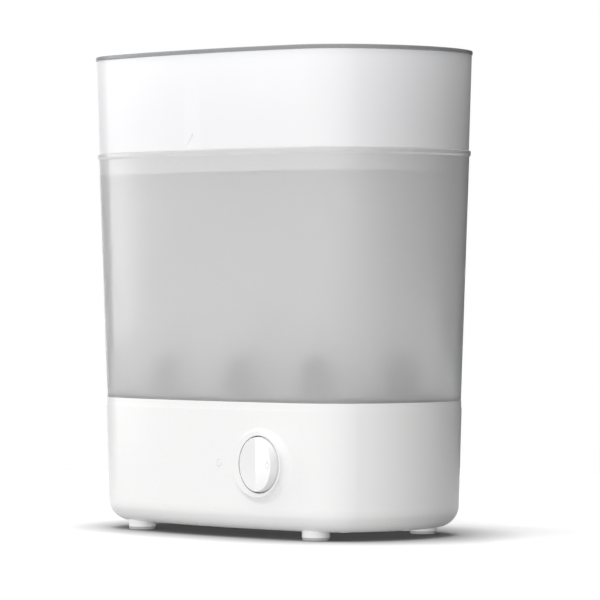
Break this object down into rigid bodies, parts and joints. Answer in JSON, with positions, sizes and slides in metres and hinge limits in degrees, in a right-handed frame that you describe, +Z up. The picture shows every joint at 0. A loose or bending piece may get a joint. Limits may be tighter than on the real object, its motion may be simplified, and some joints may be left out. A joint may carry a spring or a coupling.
{
  "type": "bottle sterilizer",
  "caption": "Upright electric steam sterilizer: heated white base with a round rocker key, frosted grey tub, white upper basket and a flat grey lid that stack and lift off.",
  "frame": {"origin": "on the floor, under the middle of the object", "axes": "+Z up, -Y is the front with the rocker key, +X to the right seen from the front"},
  "size_m": [0.304, 0.184, 0.35],
  "materials": {
    "white_housing": "satin moulded white plastic",
    "white_basket": "satin moulded white polypropylene",
    "frosted_basket": "frosted translucent grey polypropylene",
    "grey_lid": "translucent grey polypropylene",
    "grey_rack": "grey polypropylene",
    "rubber": "grey moulded rubber",
    "silicone": "translucent white silicone",
    "stainless": "pressed stainless steel",
    "aluminium": "cast aluminium",
    "zinc_steel": "zinc plated steel",
    "element_sheath": "annealed steel sheath",
    "black_phenolic": "black phenolic moulding",
    "black_nylon": "black nylon",
    "slider_nylon": "natural nylon",
    "rocker_white": "glossy white plastic",
    "clear_lens": "clear diffusing plastic",
    "led_epoxy": "tinted epoxy",
    "board": "green solder resist on glass laminate",
    "relay_case": "blue moulded plastic",
    "capacitor_sleeve": "dark shrink sleeve",
    "terminal_nylon": "natural nylon",
    "brass": "plain brass",
    "lead_sleeve": "woven glass sleeving"
  },
  "bodies": {
    "base": {"base_housing": "white_housing", "foot_pads": "rubber", "housing_screws": "zinc_steel", "base_deck": "white_housing", "plate_seal": "silicone", "heating_plate": "stainless", "heat_spreader": "aluminium", "heating_element": "element_sheath", "plate_clamp_ring": "zinc_steel", "clamp_screws": "zinc_steel", "thermostat": "black_phenolic", "thermostat_strap": "zinc_steel", "strap_screws": "zinc_steel", "thermal_fuse": "aluminium", "fuse_clip": "terminal_nylon", "switch_body": "black_nylon", "switch_screws": "zinc_steel", "indicator_lens": "clear_lens", "indicator_led": "led_epoxy", "control_board": "board", "board_screws": "zinc_steel", "relay": "relay_case", "capacitor": "capacitor_sleeve", "cord_gland": "rubber", "terminal_block": "terminal_nylon", "terminal_screws": "brass", "heater_leads": "lead_sleeve"},
    "large_basket": {"large_basket": "frosted_basket"},
    "bottle_rack": {"bottle_rack": "grey_rack"},
    "small_basket": {"small_basket": "white_basket"},
    "item_plate": {"item_plate": "white_basket"},
    "lid": {"lid": "grey_lid"},
    "rocker": {"rocker_key": "rocker_white"},
    "slider": {"switch_slider": "slider_nylon"}
  },
  "joints": [
    {"name": "rocker_press", "type": "hinge", "parent": "base", "child": "rocker", "pos_m": [0.061, -0.07829, 0.0534], "axis": [0, 0, 1], "range_deg": [0, 16.8]},
    {"name": "slider_travel", "type": "slide", "parent": "base", "child": "slider", "axis": [1, 0, 0], "range_m": [-0.00409, 0]},
    {"name": "large_basket_lift", "type": "slide", "parent": "base", "child": "large_basket", "axis": [0, 0, 1], "range_m": [0, 0.12]},
    {"name": "bottle_rack_lift", "type": "slide", "parent": "large_basket", "child": "bottle_rack", "axis": [0, 0, 1], "range_m": [0, 0.12]},
    {"name": "small_basket_lift", "type": "slide", "parent": "large_basket", "child": "small_basket", "axis": [0, 0, 1], "range_m": [0, 0.12]},
    {"name": "item_plate_lift", "type": "slide", "parent": "small_basket", "child": "item_plate", "axis": [0, 0, 1], "range_m": [0, 0.045]},
    {"name": "lid_lift", "type": "slide", "parent": "small_basket", "child": "lid", "axis": [0, 0, 1], "range_m": [0, 0.12]}
  ],
  "couplings": [
    {"joint": "slider_travel", "follows": "rocker_press", "m_per_rad": -0.01395}
  ]
}
